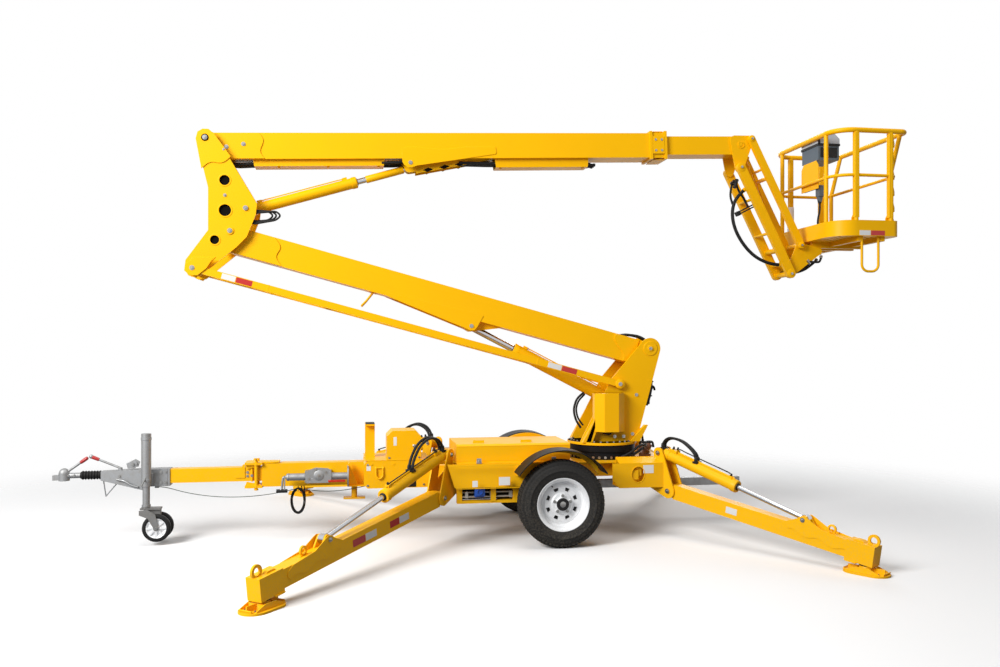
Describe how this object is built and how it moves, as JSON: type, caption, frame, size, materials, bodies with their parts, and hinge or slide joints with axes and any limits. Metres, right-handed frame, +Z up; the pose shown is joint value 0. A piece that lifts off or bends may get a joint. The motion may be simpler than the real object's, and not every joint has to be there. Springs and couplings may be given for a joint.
{
  "type": "towable boom lift",
  "caption": "Towable articulated boom lift on outriggers: trailer chassis, slewing mast, folding booms with telescope, levelled jib and work basket.",
  "frame": {"origin": "middle of the bounding box on the ground, with the legs down", "axes": "+X from the tow coupling to the basket, +Z up, +Y to the side away from the hood"},
  "size_m": [7.1342, 4.4382, 3.5035],
  "materials": {
    "yellow": "gloss",
    "tyre": "matte",
    "rim": "satin",
    "black": "satin",
    "steel": "satin",
    "chrome": "polished",
    "rubber": "matte",
    "plastic": "matte",
    "blue": "matte"
  },
  "bodies": {
    "chassis": {"axle": "steel", "fenders": "black", "chassis_frame": "yellow", "body_pan_far": "yellow", "body_pan": "yellow", "power_inlet": "blue", "power_unit": "black", "nose_box": "yellow", "control_box": "yellow", "tow_beam": "yellow", "drawbar": "yellow", "coupler_housing": "steel", "coupler_bellows": "rubber", "coupler_head": "steel", "tongue_jack": "steel", "cable_coil": "rubber", "brake_wire": "rubber", "slew_ring": "black"},
    "wheel_left": {"tyre_left": "tyre", "rim_left": "rim"},
    "wheel_right": {"tyre_right": "tyre", "rim_right": "rim"},
    "hood": {"hood": "yellow"},
    "jockey_stem": {"jockey_stem": "steel"},
    "jockey_fork": {"jockey_fork": "black"},
    "jockey_wheels": {"jockey_wheels": "rubber"},
    "turntable": {"mast": "yellow", "mast_box": "yellow"},
    "level_link": {"level_link": "yellow"},
    "lower_boom": {"lower_boom": "yellow"},
    "lower_barrel": {"lower_barrel": "yellow"},
    "lower_rod": {"lower_rod": "chrome"},
    "elbow": {"elbow": "yellow"},
    "upper_barrel": {"upper_barrel": "yellow"},
    "upper_rod": {"upper_rod": "chrome"},
    "upper_boom": {"upper_boom": "yellow"},
    "inner_boom": {"inner_boom": "yellow"},
    "jib_head": {"jib_head": "yellow"},
    "jib_arm": {"jib_arm": "yellow", "jib_hose": "rubber"},
    "jib_link": {"jib_link": "yellow"},
    "jib_barrel": {"jib_barrel": "yellow"},
    "jib_rod": {"jib_rod": "chrome"},
    "basket": {"basket_base": "yellow", "basket_rails": "yellow", "console": "plastic"},
    "leg_front_left": {"leg_front_left": "yellow"},
    "leg_barrel_front_left": {"leg_barrel_front_left": "yellow"},
    "leg_rod_front_left": {"leg_rod_front_left": "chrome"},
    "leg_rear_left": {"leg_rear_left": "yellow"},
    "leg_barrel_rear_left": {"leg_barrel_rear_left": "yellow"},
    "leg_rod_rear_left": {"leg_rod_rear_left": "chrome"},
    "leg_front_right": {"leg_front_right": "yellow"},
    "leg_barrel_front_right": {"leg_barrel_front_right": "yellow"},
    "leg_rod_front_right": {"leg_rod_front_right": "chrome"},
    "leg_rear_right": {"leg_rear_right": "yellow"},
    "leg_barrel_rear_right": {"leg_barrel_rear_right": "yellow"},
    "leg_rod_rear_right": {"leg_rod_rear_right": "chrome"}
  },
  "joints": [
    {"name": "wheel_spin_left", "type": "hinge", "parent": "chassis", "child": "wheel_left", "pos_m": [0.42189, -0.75, 0.344], "axis": [0, 1, 0], "continuous": true},
    {"name": "wheel_spin_right", "type": "hinge", "parent": "chassis", "child": "wheel_right", "pos_m": [0.42189, 0.75, 0.344], "axis": [0, 1, 0], "continuous": true},
    {"name": "hood_lid", "type": "hinge", "parent": "chassis", "child": "hood", "pos_m": [0.42189, 0.004, 0.647], "axis": [-1, 0, 0], "range_deg": [0, 62]},
    {"name": "jockey_lift", "type": "slide", "parent": "chassis", "child": "jockey_stem", "axis": [0, 0, 1], "range_m": [-0.03, 0.16]},
    {"name": "jockey_swivel", "type": "hinge", "parent": "jockey_stem", "child": "jockey_fork", "pos_m": [-2.82811, -0.138, 0.3], "axis": [0, 0, 1], "continuous": true},
    {"name": "jockey_spin", "type": "hinge", "parent": "jockey_fork", "child": "jockey_wheels", "pos_m": [-2.73811, -0.138, 0.14], "axis": [0, 1, 0], "continuous": true},
    {"name": "leg_swing_front_left", "type": "hinge", "parent": "chassis", "child": "leg_front_left", "pos_m": [-0.53811, -0.53, 0.378], "axis": [-0.788, 0.6157, 0], "range_deg": [0, 85]},
    {"name": "leg_barrel_turn_front_left", "type": "hinge", "parent": "chassis", "child": "leg_barrel_front_left", "pos_m": [-0.47655, -0.4512, 0.712], "axis": [-0.788, 0.6157, 0], "range_deg": [0, 89.75]},
    {"name": "leg_rod_travel_front_left", "type": "slide", "parent": "leg_barrel_front_left", "child": "leg_rod_front_left", "axis": [-0.5949, -0.7615, -0.2573], "range_m": [-0.45888, 0]},
    {"name": "leg_swing_rear_left", "type": "hinge", "parent": "chassis", "child": "leg_rear_left", "pos_m": [1.44189, -0.5, 0.378], "axis": [-0.8453, -0.5344, 0], "range_deg": [0, 85]},
    {"name": "leg_barrel_turn_rear_left", "type": "hinge", "parent": "chassis", "child": "leg_barrel_rear_left", "pos_m": [1.38845, -0.41547, 0.687], "axis": [-0.8453, -0.5344, 0], "range_deg": [0, 89.05]},
    {"name": "leg_rod_travel_rear_left", "type": "slide", "parent": "leg_barrel_rear_left", "child": "leg_rod_rear_left", "axis": [0.5138, -0.8127, -0.2748], "range_m": [-0.43157, 0]},
    {"name": "leg_swing_front_right", "type": "hinge", "parent": "chassis", "child": "leg_front_right", "pos_m": [-0.53811, 0.53, 0.378], "axis": [0.788, 0.6157, 0], "range_deg": [0, 85]},
    {"name": "leg_barrel_turn_front_right", "type": "hinge", "parent": "chassis", "child": "leg_barrel_front_right", "pos_m": [-0.47655, 0.4512, 0.712], "axis": [0.788, 0.6157, 0], "range_deg": [0, 89.75]},
    {"name": "leg_rod_travel_front_right", "type": "slide", "parent": "leg_barrel_front_right", "child": "leg_rod_front_right", "axis": [-0.5949, 0.7615, -0.2573], "range_m": [-0.45888, 0]},
    {"name": "leg_swing_rear_right", "type": "hinge", "parent": "chassis", "child": "leg_rear_right", "pos_m": [1.44189, 0.5, 0.378], "axis": [0.8453, -0.5344, 0], "range_deg": [0, 85]},
    {"name": "leg_barrel_turn_rear_right", "type": "hinge", "parent": "chassis", "child": "leg_barrel_rear_right", "pos_m": [1.38845, 0.41547, 0.687], "axis": [0.8453, -0.5344, 0], "range_deg": [0, 89.05]},
    {"name": "leg_rod_travel_rear_right", "type": "slide", "parent": "leg_barrel_rear_right", "child": "leg_rod_rear_right", "axis": [0.5138, 0.8127, -0.2748], "range_m": [-0.43157, 0]},
    {"name": "slew", "type": "hinge", "parent": "chassis", "child": "turntable", "pos_m": [0.97189, 0, 0.7355], "axis": [0, 0, 1], "range_deg": [-175, 175]},
    {"name": "lower_lift", "type": "hinge", "parent": "turntable", "child": "lower_boom", "pos_m": [1.36189, 0, 1.563], "axis": [0, 1, 0], "range_deg": [-15, 60]},
    {"name": "level_link_turn", "type": "hinge", "parent": "turntable", "child": "level_link", "pos_m": [1.07689, 0, 1.256], "axis": [0, 1, 0], "range_deg": [-15, 60]},
    {"name": "elbow_turn", "type": "hinge", "parent": "lower_boom", "child": "elbow", "pos_m": [-2.18011, 0, 2.516], "axis": [0, 1, 0], "range_deg": [-60, 15]},
    {"name": "lower_barrel_turn", "type": "hinge", "parent": "turntable", "child": "lower_barrel", "pos_m": [1.04189, 0, 1.11], "axis": [0, 1, 0], "range_deg": [-13.46, 53.81]},
    {"name": "lower_rod_travel", "type": "slide", "parent": "lower_barrel", "child": "lower_rod", "axis": [-0.8887, 0, 0.4586], "range_m": [-0.13134, 0.52532]},
    {"name": "upper_luff", "type": "hinge", "parent": "elbow", "child": "upper_boom", "pos_m": [-2.37211, 0, 3.26], "axis": [0, -1, 0], "range_deg": [-5, 60]},
    {"name": "upper_barrel_turn", "type": "hinge", "parent": "elbow", "child": "upper_barrel", "pos_m": [-2.05811, 0, 2.702], "axis": [0, -1, 0], "range_deg": [-4.56, 54.57]},
    {"name": "upper_rod_travel", "type": "slide", "parent": "upper_barrel", "child": "upper_rod", "axis": [0.958, 0, 0.2867], "range_m": [-0.05171, 0.62039]},
    {"name": "telescope", "type": "slide", "parent": "upper_boom", "child": "inner_boom", "axis": [0.9993, 0, 0.0384], "range_m": [0, 2.6]},
    {"name": "head_level", "type": "hinge", "parent": "inner_boom", "child": "jib_head", "pos_m": [2.22211, 0, 3.39446], "axis": [0, -1, 0], "range_deg": [-60, 5]},
    {"name": "jib_swing", "type": "hinge", "parent": "jib_head", "child": "jib_arm", "pos_m": [2.21611, 0, 3.17846], "axis": [0, -1, 0], "range_deg": [0, 100]},
    {"name": "jib_link_turn", "type": "hinge", "parent": "jib_head", "child": "jib_link", "pos_m": [2.31511, 0, 3.43646], "axis": [0, -1, 0], "range_deg": [0, 100]},
    {"name": "basket_level", "type": "hinge", "parent": "jib_arm", "child": "basket", "pos_m": [2.69311, 0, 2.23546], "axis": [0, -1, 0], "range_deg": [-100, 0]},
    {"name": "jib_barrel_turn", "type": "hinge", "parent": "jib_head", "child": "jib_barrel", "pos_m": [2.30111, 0, 3.27346], "axis": [0, -1, 0], "range_deg": [0, 106.57]},
    {"name": "jib_rod_travel", "type": "slide", "parent": "jib_barrel", "child": "jib_rod", "axis": [0.3828, 0, -0.9239], "range_m": [-0.17337, 0]}
  ],
  "couplings": [
    {"joint": "leg_barrel_turn_front_left", "follows": "leg_swing_front_left", "ratio": 1.0557},
    {"joint": "leg_rod_travel_front_left", "follows": "leg_swing_front_left", "m_per_rad": -0.30931},
    {"joint": "leg_barrel_turn_rear_left", "follows": "leg_swing_rear_left", "ratio": 1.0475},
    {"joint": "leg_rod_travel_rear_left", "follows": "leg_swing_rear_left", "m_per_rad": -0.2909},
    {"joint": "leg_barrel_turn_front_right", "follows": "leg_swing_front_right", "ratio": 1.0557},
    {"joint": "leg_rod_travel_front_right", "follows": "leg_swing_front_right", "m_per_rad": -0.30931},
    {"joint": "leg_barrel_turn_rear_right", "follows": "leg_swing_rear_right", "ratio": 1.0475},
    {"joint": "leg_rod_travel_rear_right", "follows": "leg_swing_rear_right", "m_per_rad": -0.2909},
    {"joint": "level_link_turn", "follows": "lower_lift", "ratio": 1},
    {"joint": "elbow_turn", "follows": "lower_lift", "ratio": -1},
    {"joint": "lower_barrel_turn", "follows": "lower_lift", "ratio": 0.8967},
    {"joint": "lower_rod_travel", "follows": "lower_lift", "m_per_rad": 0.50163},
    {"joint": "upper_barrel_turn", "follows": "upper_luff", "ratio": 0.9094},
    {"joint": "upper_rod_travel", "follows": "upper_luff", "m_per_rad": 0.59242},
    {"joint": "head_level", "follows": "upper_luff", "ratio": -1},
    {"joint": "jib_link_turn", "follows": "jib_swing", "ratio": 1},
    {"joint": "basket_level", "follows": "jib_swing", "ratio": -1},
    {"joint": "jib_barrel_turn", "follows": "jib_swing", "ratio": 1.0656},
    {"joint": "jib_rod_travel", "follows": "jib_swing", "m_per_rad": -0.09933}
  ]
}
